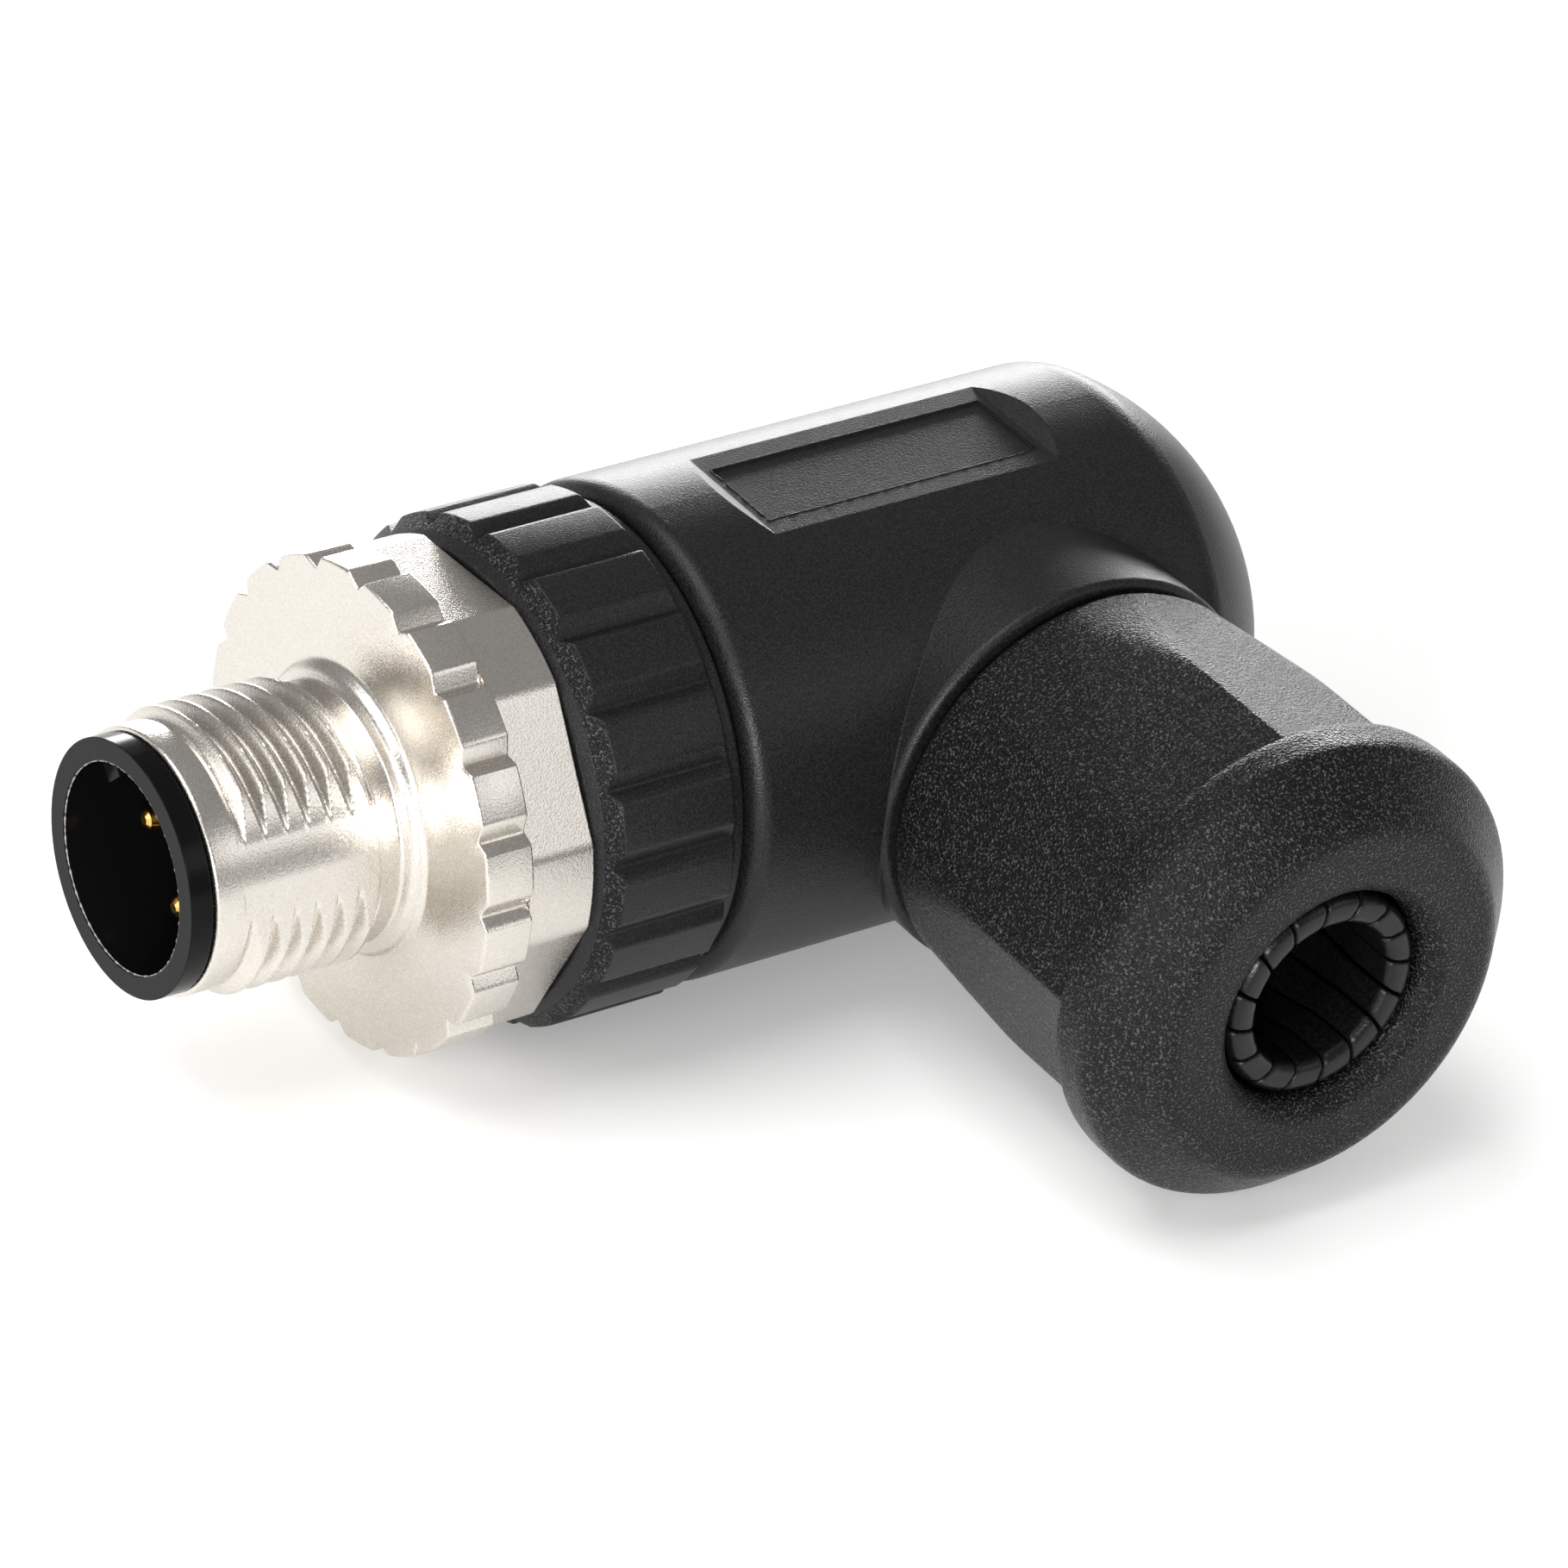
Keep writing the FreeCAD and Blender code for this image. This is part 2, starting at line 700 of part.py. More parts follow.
def glandNut():
    body = branchPiece("gland_nut")
    flare = f"({nutEnd} - flare_back)"
    collar = f"({nutEnd} - collar_back)"
    edge = f"({nutEnd} - edge_back)"
    turned(body, "Nut", [
        (nutFront, nutBore),
        (nutFront, f"{nutWaist} - mouth_drop"),
        (f"{nutFront} + 0.45", nutWaist),
        (f"{nutEnd} - cone_back", nutRidge),
        (flare, nutRidge),
        (f"{flare} + 0.29 * (flare_back - collar_back)", f"{nutRidge} + 0.3 * collar_rise"),
        (f"{flare} + 0.58 * (flare_back - collar_back)", f"{nutRidge} + 0.68 * collar_rise"),
        (collar, f"{nutRidge} + 0.94 * collar_rise"),
        (f"0.5 * ({collar} + {edge})", f"{nutCollar} + 0.02"),
        (edge, f"{nutCollar} - 0.03"),
        (nutEnd, f"{nutCollar} - face_slope"),
        (nutEnd, "nut_hole + lip_round"),
        (f"{nutEnd} - 0.3 * lip_round", "nut_hole + 0.3 * lip_round"),
        (f"{nutEnd} - lip_round", "nut_hole"),
        (squeezeEnd, "nut_hole"),
        (squeezeStart, squeezeRadius),
        (squeezeStart, nutBore),
    ])
    facet = bar(
        f"-0.5 * {nutWaist}", f"0.5 * {nutWaist}",
        f"{nutRidge} - facet_drop", f"1.3 * {nutRidge}", "22.5 + facet_turn",
    )
    facetEnd = f"({nutEnd} - facet_back)"
    facets = raised(
        body, "Facet", "YZ_Plane", facet, facetEnd, f"{facetEnd} - {nutFront} + 0.5", cut=True
    )
    repeated(body, facets, "facet_count")


contactInsert()
for pinNumber in (1, 2, 3, 4):
    contactPin(pinNumber, 90 * (pinNumber - 1))
terminalCarrier()
terminalScrews()
couplingScrew()
frictionWasher()
unionRing()
housingSeal()
housing()
cableSeal()
slipWasher()
clampCage()
glandNut()
document.recompute()

for thing in document.Objects:
    if "Invalid" in thing.State or "Error" in thing.State:
        raise RuntimeError(f"{thing.Label} is not built: {thing.State}")

os.makedirs("parts", exist_ok=True)
for finished in pieces:
    shape = finished.Shape
    if shape.isNull() or not shape.isValid():
        raise RuntimeError(f"{finished.Label} has no sound shape")
    shape.exportStep(f"parts/{finished.Label}.step")
    print(f"{finished.Label}: {len(shape.Solids)} solid, {shape.Volume:.1f} mm3")
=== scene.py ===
import math
import bpy
import numpy as np
from mathutils import Matrix, Vector


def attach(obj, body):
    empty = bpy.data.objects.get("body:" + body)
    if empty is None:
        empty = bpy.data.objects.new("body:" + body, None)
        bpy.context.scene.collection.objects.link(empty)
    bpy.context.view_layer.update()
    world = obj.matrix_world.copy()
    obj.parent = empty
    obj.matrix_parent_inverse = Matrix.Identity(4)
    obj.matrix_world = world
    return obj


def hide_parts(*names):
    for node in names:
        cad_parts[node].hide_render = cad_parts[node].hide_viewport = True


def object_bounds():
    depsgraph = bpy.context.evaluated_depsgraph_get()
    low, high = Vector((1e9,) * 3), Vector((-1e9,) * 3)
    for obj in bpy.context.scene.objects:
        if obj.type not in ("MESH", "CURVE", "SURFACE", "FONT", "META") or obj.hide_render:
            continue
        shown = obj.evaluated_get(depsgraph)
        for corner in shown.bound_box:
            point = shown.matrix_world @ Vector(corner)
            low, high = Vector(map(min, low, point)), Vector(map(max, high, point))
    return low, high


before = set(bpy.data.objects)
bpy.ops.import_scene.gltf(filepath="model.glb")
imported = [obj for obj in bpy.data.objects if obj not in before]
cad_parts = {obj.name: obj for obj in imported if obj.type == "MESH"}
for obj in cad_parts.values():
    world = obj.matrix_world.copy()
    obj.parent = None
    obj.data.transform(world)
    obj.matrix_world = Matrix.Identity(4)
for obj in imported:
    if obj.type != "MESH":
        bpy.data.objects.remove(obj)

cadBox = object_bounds()
mm = 0.001


def linearColour(hexText):
    # each sRGB channel c: c / 12.92 below 0.04045, else ((c + 0.055) / 1.055) ^ 2.4
    channels = [int(hexText[i:i + 2], 16) / 255 for i in (1, 3, 5)]
    return [c / 12.92 if c <= 0.04045 else ((c + 0.055) / 1.055) ** 2.4 for c in channels] + [1.0]


def addNode(tree, kind, settings=None, inputs=None):
    # settings are the node's own values, inputs are numbers, colours or sockets to link
    node = tree.nodes.new(kind)
    for name, value in (settings or {}).items():
        setattr(node, name, value)
    for name, value in (inputs or {}).items():
        socket = node.inputs[name]
        if isinstance(value, bpy.types.NodeSocket):
            tree.links.new(value, socket)
        else:
            socket.default_value = value
    return node


def newMaterial(name):
    material = bpy.data.materials.new(name)
    material.use_nodes = True
    material.node_tree.nodes.clear()
    return material, material.node_tree


def finishMaterial(tree, surface):
    # surface holds the inputs of the one shader that every finish here ends in
    shader = addNode(tree, "ShaderNodeBsdfPrincipled", None, surface)
    output = addNode(tree, "ShaderNodeOutputMaterial")
    tree.links.new(shader.outputs["BSDF"], output.inputs["Surface"])


def softEdge(tree, width):
    # normal that turns smoothly over an edge, as on every moulded edge, width in millimetres
    return addNode(tree, "ShaderNodeBevel", {"samples": 4}, {"Radius": width * mm}).outputs["Normal"]


def grainBump(tree, facts, detail=2.0, normal=None):
    # grainy moulded or cast surface: noise of one grain's size and height in millimetres as a bump
    place = addNode(tree, "ShaderNodeTexCoord")
    noise = addNode(tree, "ShaderNodeTexNoise", {"noise_dimensions": "3D"}, {
        "Vector": place.outputs["Object"], "Scale": 1 / (facts["grain"] * mm),
        "Detail": detail, "Roughness": 0.55,
    })
    inputs = {"Height": noise.outputs["Fac"], "Distance": facts["height"] * mm, "Strength": 1.0}
    if normal is not None:
        inputs["Normal"] = normal
    bump = addNode(tree, "ShaderNodeBump", None, inputs)
    return bump.outputs["Normal"], noise.outputs["Fac"]


def stretched(tree, fac, between, to=(0.0, 1.0)):
    # noise between the first two values becomes the second two, and stays at them beyond
    return addNode(tree, "ShaderNodeMapRange", {"clamp": True}, {
        "Value": fac, "From Min": between[0], "From Max": between[1], "To Min": to[0], "To Max": to[1],
    }).outputs["Result"]


def grainColour(tree, factor, facts):
    # the grain's hollows have one colour and its peaks another, which on the spark-eroded finish is a
    # painted glint; the mix node has sockets of every type, of which inputs 6 and 7 and output 2 are its
    # colours
    tint = addNode(tree, "ShaderNodeMix", {"data_type": "RGBA"}, {"Factor": factor})
    tint.inputs[6].default_value = linearColour(facts["hollow"])
    tint.inputs[7].default_value = linearColour(facts["peak"])
    return tint.outputs[2]


# every finish: grain, height and edge in millimetres, peaksShow the grain's heights between which
# the hollows' colour turns to the peaks', reflect the specular level

softTouch = {
    "hollow": "#111112", "peak": "#222223", "peaksShow": (0.40, 0.68), "grain": 0.09, "height": 0.022,
    "edge": 0.12, "roughness": 0.36, "reflect": 0.28, "ior": 1.46,
}
tumbled = {
    "hollow": "#0A0A0B", "peak": "#151516", "peaksShow": (0.40, 0.68), "grain": 0.14, "height": 0.012,
    "edge": 0.16, "roughness": 0.26, "reflect": 0.30, "ior": 1.46,
}


def fineBlackPlastic(name, facts):
    # plastic from a finely eroded mould: near black, a soft sheen broken by tiny grain; the cage's
    # acetal is tumbled afterwards, which leaves it darker, smoother and glossier
    material, tree = newMaterial(name)
    normal, fac = grainBump(tree, facts, 1.0, softEdge(tree, facts["edge"]))
    finishMaterial(tree, {
        "Base Color": grainColour(tree, stretched(tree, fac, facts["peaksShow"]), facts),
        "Roughness": facts["roughness"],
        "IOR": facts["ior"], "Specular IOR Level": facts["reflect"], "Normal": normal,
    })
    return material


# the peak colour, far lighter than the hollows and shown only on the grain's highest peaks, is a painted
# glint
sparkTexture = {
    "hollow": "#0A0A0B", "peak": "#474749", "peaksShow": (0.55, 0.69), "grain": 0.11, "height": 0.10,
    "glossFrom": (0.50, 0.64), "roughness": (0.30, 0.20), "reflect": 0.18, "ior": 1.46,
}


def sparkedPolyamide():
    # the same plastic from a coarsely spark-eroded mould, drawn a little coarser than it is: the peaks
    # of its grain are smoother and glitter where light grazes them; their lighter colour is a painted
    # glint
    facts = sparkTexture
    material, tree = newMaterial("polyamide, coarse spark-eroded mould, painted glints")
    normal, fac = grainBump(tree, facts, 1.5)
    finishMaterial(tree, {
        "Base Color": grainColour(tree, stretched(tree, fac, facts["peaksShow"]), facts),
        "Roughness": stretched(tree, fac, facts["glossFrom"], facts["roughness"]),
        "IOR": facts["ior"], "Specular IOR Level": facts["reflect"], "Normal": normal,
    })
    return material


polished = {
    "colour": "#0B0B0C", "grain": 1.4, "height": 0.004, "edge": 0.10,
    "roughness": 0.18, "reflect": 0.08, "ior": 1.53,
}


def polishedPolyamide():
    # black plastic from a polished mould: sharp reflections, slightly wavy where it shrank
    facts = polished
    material, tree = newMaterial("polyamide, polished mould")
    normal, _ = grainBump(tree, facts, 1.0, softEdge(tree, facts["edge"]))
    finishMaterial(tree, {
        "Base Color": linearColour(facts["colour"]), "Roughness": facts["roughness"],
        "IOR": facts["ior"], "Specular IOR Level": facts["reflect"], "Normal": normal,
    })
    return material


flash = {"colour": "#8E8E90", "roughness": 0.35, "ior": 1.53}


def mouldFlash():
    # paper-thin torn edge of the same plastic: stressed white, so it shows as a pale line
    material, tree = newMaterial("polyamide, torn mould flash")
    finishMaterial(tree, {
        "Base Color": linearColour(flash["colour"]), "Roughness": flash["roughness"], "IOR": flash["ior"],
    })
    return material


nickel = {
    "hollow": "#CEC8C0", "peak": "#DFDAD3", "peaksShow": (0.34, 0.66), "grain": 0.09, "height": 0.012,
    "roughness": (0.19, 0.33),
}


def nickelPlatedCasting():
    # zinc casting, tumbled and nickel plated: warm white metal with the casting's fine grain under it
    facts = nickel
    material, tree = newMaterial("zinc casting, satin nickel plated")
    normal, fac = grainBump(tree, facts, 3.0)
    finishMaterial(tree, {
        "Base Color": grainColour(tree, stretched(tree, fac, facts["peaksShow"]), facts),
        "Metallic": 1.0,
        "Roughness": stretched(tree, fac, (0.0, 1.0), facts["roughness"]), "Normal": normal,
    })
    return material


gold = {"colour": "#E2B465", "grain": 0.12, "height": 0.003, "roughness": 0.22}
zinc = {"colour": "#B8B9BC", "grain": 0.20, "height": 0.004, "roughness": 0.34}


def platedMetal(name, facts):
    # turned brass, gold plated: warm and bright, with fine tool marks;
    # rolled steel, zinc plated: grey with a dull sheen
    material, tree = newMaterial(name)
    normal, _ = grainBump(tree, facts)
    finishMaterial(tree, {
        "Base Color": linearColour(facts["colour"]), "Metallic": 1.0,
        "Roughness": facts["roughness"], "Normal": normal,
    })
    return material


rubber = {
    "hollow": "#161616", "peak": "#222222", "grain": 0.40, "height": 0.010,
    "roughness": 0.70, "ior": 1.50,
}


def sealRubber():
    # moulded nitrile rubber: black, dull, with a dusty bloom
    material, tree = newMaterial("nitrile rubber, moulded")
    normal, fac = grainBump(tree, rubber)
    finishMaterial(tree, {
        "Base Color": grainColour(tree, fac, rubber), "Roughness": rubber["roughness"],
        "IOR": rubber["ior"], "Normal": normal,
    })
    return material


softBlack = fineBlackPlastic("polyamide, fine eroded mould", softTouch)
cageBlack = fineBlackPlastic("acetal, moulded and tumbled", tumbled)
sparkBlackPaintedGlints = sparkedPolyamide()
glossBlack = polishedPolyamide()
flashGrey = mouldFlash()
nickelSkin = nickelPlatedCasting()
goldSkin = platedMetal("turned brass, gold plated", gold)
zincSkin = platedMetal("steel, zinc plated", zinc)
rubberSkin = sealRubber()

nodeFinish = {
    "contact_insert": glossBlack,
    "contact_pin_1": goldSkin,
    "contact_pin_2": goldSkin,
    "contact_pin_3": goldSkin,
    "contact_pin_4": goldSkin,
    "terminal_carrier": softBlack,
    "terminal_screws": zincSkin,
    "coupling_screw": nickelSkin,
    "friction_washer": zincSkin,
    "union_ring": sparkBlackPaintedGlints,
    "housing_seal": rubberSkin,
    "housing": softBlack,
    "cable_seal": rubberSkin,
    "slip_washer": softBlack,
    "clamp_cage": cageBlack,
    "gland_nut": sparkBlackPaintedGlints,
}
for nodeName, material in nodeFinish.items():
    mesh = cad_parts[nodeName].data
    mesh.materials.clear()
    mesh.materials.append(material)
print("finishes set")

# shapes: every new piece is a closed grid of rings round one of the two axes, and every outline
# runs once round the wall as (along, radius, rounding, step) in millimetres

branchPlace = 38.9
fullTurn = 360


def matingFrame(along, radius, turn):
    # mating axis: along +X, the angle runs from +Z towards -Y
    return np.stack([along, -radius * np.sin(turn), radius * np.cos(turn)], axis=-1) * mm


def branchFrame(along, radius, turn):
    # cable branch: along -Y from the mating axis, the angle runs from +Z towards -X
    return np.stack([branchPlace - radius * np.sin(turn), -along, radius * np.cos(turn)], axis=-1) * mm


def gridFaces(rows, columns, start=0):
    # quads between neighbouring points of a grid that closes in both directions, facing outwards
    i, j = np.meshgrid(np.arange(rows), np.arange(columns), indexing="ij")
    nextRow, nextColumn = (i + 1) % rows, (j + 1) % columns
    corners = [i * columns + j, i * columns + nextColumn,
               nextRow * columns + nextColumn, nextRow * columns + j]
    return np.stack(corners, axis=-1).reshape(-1, 4) + start


def meshPiece(name, places, faces, material, sharp, body):
    # sharp is the angle in degrees past which an edge isn't smoothed
    mesh = bpy.data.meshes.new(name)
    mesh.vertices.add(len(places))
    mesh.vertices.foreach_set("co", places.astype(np.float32).ravel())
    mesh.loops.add(faces.size)
    mesh.loops.foreach_set("vertex_index", faces.astype(np.int32).ravel())
    mesh.polygons.add(len(faces))
    mesh.polygons.foreach_set("loop_start", np.arange(0, faces.size, 4, dtype=np.int32))
    mesh.update(calc_edges=True)
    mesh.validate()
    mesh.shade_smooth()
    mesh.set_sharp_from_angle(angle=math.radians(sharp))
    mesh.materials.append(material)
    piece = bpy.data.objects.new(name, mesh)
    bpy.context.collection.objects.link(piece)
    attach(piece, body)
    print(f"{name}: {len(faces)} faces")
    return piece


def roundedPath(corners):
    # each corner becomes a quadratic curve that starts and ends one rounding away from it, but at
    # most a share of either run, and a straight run is divided where its step isn't 0
    most, curvePoints = 0.45, 5
    points = np.array([corner[:2] for corner in corners], float)
    path = []
    for k, (_, _, rounding, step) in enumerate(corners):
        here, before, after = points[k], points[k - 1], points[(k + 1) % len(points)]
        towards = (before - here) / np.linalg.norm(before - here)
        away = (after - here) / np.linalg.norm(after - here)
        reach = min(rounding, most * np.linalg.norm(before - here), most * np.linalg.norm(after - here))
        t = np.linspace(0, 1, curvePoints)[:, None] if rounding else np.zeros((1, 1))
        first, last = here + towards * reach, here + away * reach
        path.append((1 - t) ** 2 * first + 2 * t * (1 - t) * here + t ** 2 * last)
        if step:
            nextReach = min(corners[(k + 1) % len(corners)][2], most * np.linalg.norm(after - here))
            end = after - away * nextReach
            count = max(int(np.linalg.norm(end - path[-1][-1]) / step), 1)
            s = np.linspace(0, 1, count + 1)[1:-1, None]
            path.append(path[-1][-1] * (1 - s) + end * s)
    return np.concatenate(path)


def turnedGrid(outline, turn):
    # every point of the outline at every angle: along, radius and angle in degrees
    profile = roundedPath(outline)
    along, radius = (np.repeat(column[:, None], len(turn), axis=1) for column in profile.T)
    return along, radius, np.repeat(turn[None, :], len(profile), axis=0)


def smoothStep(value, low, high):
    # 0 below low, 1 above high, an even S between
    t = np.clip((value - low) / (high - low), 0, 1)
    return t * t * (3 - 2 * t)


def nearest(turn, centre, period):
    # signed angle from the nearest of the evenly spaced centres
    return (turn - centre + period / 2) % period - period / 2


def toothDepth(turn, teeth):
    # how far a saw tooth lies under its crest: a long slope before the notch, a short one after it
    offset = nearest(turn, teeth["notchAt"], teeth["pitch"])
    slope = np.where(offset < 0, 1 + offset / teeth["before"], 1 - offset / teeth["after"])
    return teeth["depth"] * np.clip(slope, 0, 1)


toothGrid = {
    # degrees from an edge of a tooth to the pair of columns at it, and to the next column
    "edgePair": 0.25, "notchPair": 0.3, "clear": 1.0, "clearShort": 0.8,
    # columns on the long slope, on the short slope and on the crest
    "longColumns": 4, "shortColumns": 2, "crestColumns": 8,
}


def toothColumns(teeth):
    # angles that meet every facet edge of every tooth, with a narrow pair at each edge
    before, after, pitch = teeth["before"], teeth["after"], teeth["pitch"]
    pair, notch, clear = toothGrid["edgePair"], toothGrid["notchPair"], toothGrid["clear"]
    edges = [-before - pair, -before + pair, -notch, notch, after - pair, after + pair]
    inner = np.concatenate([
        np.linspace(-before + clear, -clear, toothGrid["longColumns"]),
        np.linspace(clear, after - toothGrid["clearShort"], toothGrid["shortColumns"]),
        np.linspace(after + clear, pitch - before - clear, toothGrid["crestColumns"]),
    ])
    tooth = np.sort(np.concatenate([edges, inner]))
    starts = teeth["notchAt"] + pitch * np.arange(round(fullTurn / pitch))
    return np.sort((starts[:, None] + tooth[None, :]).ravel() % fullTurn)


couplingScrew = {
    # millimetres along and from the mating axis, degrees from the top
    "front": 1.10, "bore": 5.05, "sleeve": 5.58, "threadFrom": 2.30, "threadTo": 9.00, "neck": 5.45,
    "bead": [(9.78, 5.45, 0.14, 0), (10.02, 5.98, 0.26, 0), (10.48, 6.16, 0.24, 0)],
    "flangeFront": 10.60, "flangeFoot": 7.10, "flangeWaist": 9.20, "flange": 10.45, "flangeBack": 12.80,
    "corner": 10.12, "back": 15.90, "recess": 7.50, "recessFrom": 12.90,
    "hexagonHeight": 9.55, "hexagonAt": 56.6,
    "teeth": {"notchAt": 14.0, "pitch": 18.0, "depth": 0.50, "before": 4.1, "after": 2.6},
    # thread: shares of half a pitch, and the stretches over which it starts and ends
    "pitch": 1.0, "crest": 6.0, "root": 5.40, "crestShare": 0.15, "rootShare": 0.85, "rowStep": 0.05,
    "fadeIn": (2.35, 2.95), "fadeOut": (8.55, 9.0), "rootFrom": (2.3, 2.7), "rootTo": (8.8, 9.0),
    "creepIn": (2.3, 2.6), "creepOut": (8.7, 9.0),
    # plain bands along the two sides and the flats that cut the crests beside them; flatReach, in
    # radians, is how far round a flat is followed, short of the quarter turn where its cosine is 0
    "bandAt": 71.5, "bandWidth": 16.0, "runOut": 20.0, "flatHeight": 5.54, "flatAt": 80.5,
    "flatReach": 1.2,
}


def threadRadius(along, turn):
    # helix: the radius falls from crest to root with the distance to the nearest turn of the
    # thread, whose place moves one pitch along for each full turn; towards two plain bands the
    # crest sinks and the whole groove is lifted, so that each groove narrows and ends in a point
    facts = couplingScrew
    phase = along / facts["pitch"] - turn / fullTurn
    away = np.abs((phase + 0.5) % 1 - 0.5) * 2
    ridge = 1 - np.clip((away - facts["crestShare"]) / (facts["rootShare"] - facts["crestShare"]), 0, 1)
    fadeIn, fadeOut = smoothStep(along, *facts["fadeIn"]), 1 - smoothStep(along, *facts["fadeOut"])
    core = (facts["root"] + (facts["sleeve"] - facts["root"]) * (1 - smoothStep(along, *facts["rootFrom"]))
            + (facts["neck"] - facts["root"]) * smoothStep(along, *facts["rootTo"]))
    side = np.abs(nearest(turn, facts["bandAt"], 180))
    lift = 1 - np.clip((side - facts["bandWidth"]) / facts["runOut"], 0, 1)
    cut = np.radians(nearest(turn, facts["flatAt"], 180))
    flat = facts["flatHeight"] / np.cos(np.clip(cut, -facts["flatReach"], facts["flatReach"]))
    top = np.minimum(facts["crest"] + (facts["sleeve"] - facts["crest"]) * lift, flat)
    rise = (facts["crest"] - facts["root"]) * ridge * fadeIn + (facts["sleeve"] - core) * lift
    return np.minimum(core + rise * fadeOut, np.maximum(top, core))


def makeCouplingScrew():
    facts = couplingScrew
    front, bore, sleeve, back = facts["front"], facts["bore"], facts["sleeve"], facts["back"]
    flangeFront, flangeBack, corner = facts["flangeFront"], facts["flangeBack"], facts["corner"]
    along, radius, turns = turnedGrid([
        (front, bore, 0.05, 0), (front, sleeve, 0.16, 0),
        (facts["threadFrom"], sleeve, 0.0, facts["rowStep"]),
        (facts["threadTo"], facts["neck"], 0.0, 0), *facts["bead"],
        (flangeFront, facts["flangeFoot"], 0.60, 0), (flangeFront, facts["flangeWaist"], 0.0, 0),
        (flangeFront, facts["flange"], 0.14, 0), (flangeBack, facts["flange"], 0.09, 0),
        (flangeBack, corner, 0.03, 0), (back, corner, 0.10, 0), (back, facts["recess"], 0.10, 0),
        (facts["recessFrom"], facts["recess"], 0.05, 0), (facts["recessFrom"], bore, 0.05, 0),
    ], toothColumns(facts["teeth"]))
    # each part of the outline is picked by its place, with margins that hold no other point of it
    thread = (along > facts["threadFrom"] - 0.01) & (along < facts["threadTo"] + 0.01)
    thread &= (radius < sleeve + 0.02) & (radius > facts["root"] - 0.1)
    # the rows of the thread creep along with its turns by up to one step, so that they keep to its
    # crest and root lines, and jump back where the next row takes over
    creep = (turns / fullTurn * facts["pitch"]) % facts["rowStep"]
    creep = creep * smoothStep(along, *facts["creepIn"]) * (1 - smoothStep(along, *facts["creepOut"]))
    along = along + np.where(thread, creep, 0)
    radius = np.where(thread, threadRadius(along, turns), radius)
    flange = (along > flangeFront - 0.1) & (along < flangeBack + 0.01) & (radius > corner + 0.08)
    radius = radius - np.where(flange, toothDepth(turns, facts["teeth"]), 0)
    # the hexagon is what its six planes leave of the round behind the flange
    plane = np.radians(nearest(turns, facts["hexagonAt"], 60))
    hexagon = np.maximum(corner - facts["hexagonHeight"] / np.cos(plane), 0)
    collar = (along > flangeBack - 0.1) & (radius > facts["hexagonHeight"] + 0.15) & ~flange
    radius = radius - np.where(collar, hexagon, 0)
    places = matingFrame(along, radius, np.radians(turns)).reshape(-1, 3)
    piece = meshPiece("couplingScrew", places, gridFaces(*along.shape), nickelSkin, 24, "coupling_body")
    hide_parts("coupling_screw")
    return piece


unionRing = {
    # millimetres along and from the mating axis, degrees from the top
    "crest": 10.80, "notchFloor": 10.20, "cone": (16.1, 16.93), "coneInside": 9.9,
    "outline": [
        (16.00, 7.50, 0.08, 0), (16.00, 9.75, 0.10, 0), (16.40, 10.20, 0.06, 0.06),
        (16.95, 10.80, 0.06, 0), (22.20, 10.80, 0.10, 0.08), (22.50, 10.22, 0.08, 0),
        (23.00, 10.20, 0.10, 0), (23.15, 10.00, 0.05, 0), (23.15, 9.35, 0.08, 0),
        (17.30, 9.35, 0.05, 0), (17.30, 7.50, 0.05, 0),
    ],
    "teeth": {"notchAt": 10.0, "pitch": 18.0, "depth": 0.50, "before": 4.2, "after": 2.7},
}


def makeUnionRing():
    facts = unionRing
    along, radius, turns = turnedGrid(facts["outline"], toothColumns(facts["teeth"]))
    # the notch floor keeps its height, so the lead cone and the rear slope run out into it
    ribs = np.maximum(facts["crest"] - toothDepth(turns, facts["teeth"]), facts["notchFloor"])
    # the lead cone stays spark textured, with that finish's painted glints, as far as the ribs cut into
    # it, the ribs are finer
    coneFrom, coneTo = facts["cone"]
    cone = (along > coneFrom) & (along < coneTo) & (radius < ribs + 0.01) & (radius > facts["coneInside"])
    radius = np.where(radius > facts["notchFloor"] + 0.01, np.minimum(radius, ribs), radius)
    places = matingFrame(along, radius, np.radians(turns)).reshape(-1, 3)
    piece = meshPiece("unionRing", places, gridFaces(*along.shape), softBlack, 28, "union_body")
    piece.data.materials.append(sparkBlackPaintedGlints)
    piece.data.polygons.foreach_set("material_index", cone.astype(np.int32).ravel())
    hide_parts("union_ring")
    return piece


glandNut = {
    # millimetres along and from the branch's axis, degrees from the top
    "facets": 8, "facetAt": 23.5, "facetHeight": 8.95, "softness": 0.10, "wallInside": 8.5,
    "facetEnd": 24.62, "endBlend": 0.12, "coneEnd": 25.5,
    "halfFacet": [-22.2, -21.0, -19.0, -16.0, -12.0, -8.0, -4.0, 0.0],
    "outline": [
        (10.95, 7.50, 0.06, 0), (10.95, 8.62, 0.18, 0), (11.40, 9.02, 0.20, 0.3),
        (18.40, 9.75, 1.2, 0.4), (21.90, 9.75, 0.6, 0.25), (23.80, 10.24, 0.6, 0.12),
        (24.90, 10.50, 0.3, 0.1), (26.55, 10.50, 0.45, 0.25), (29.05, 8.05, 0.55, 0.4),
        (29.05, 5.50, 0.35, 0), (28.40, 4.81, 0.40, 0), (27.20, 4.81, 0.05, 0),
        (21.90, 6.90, 0.05, 0), (21.90, 7.50, 0.05, 0),
    ],
}


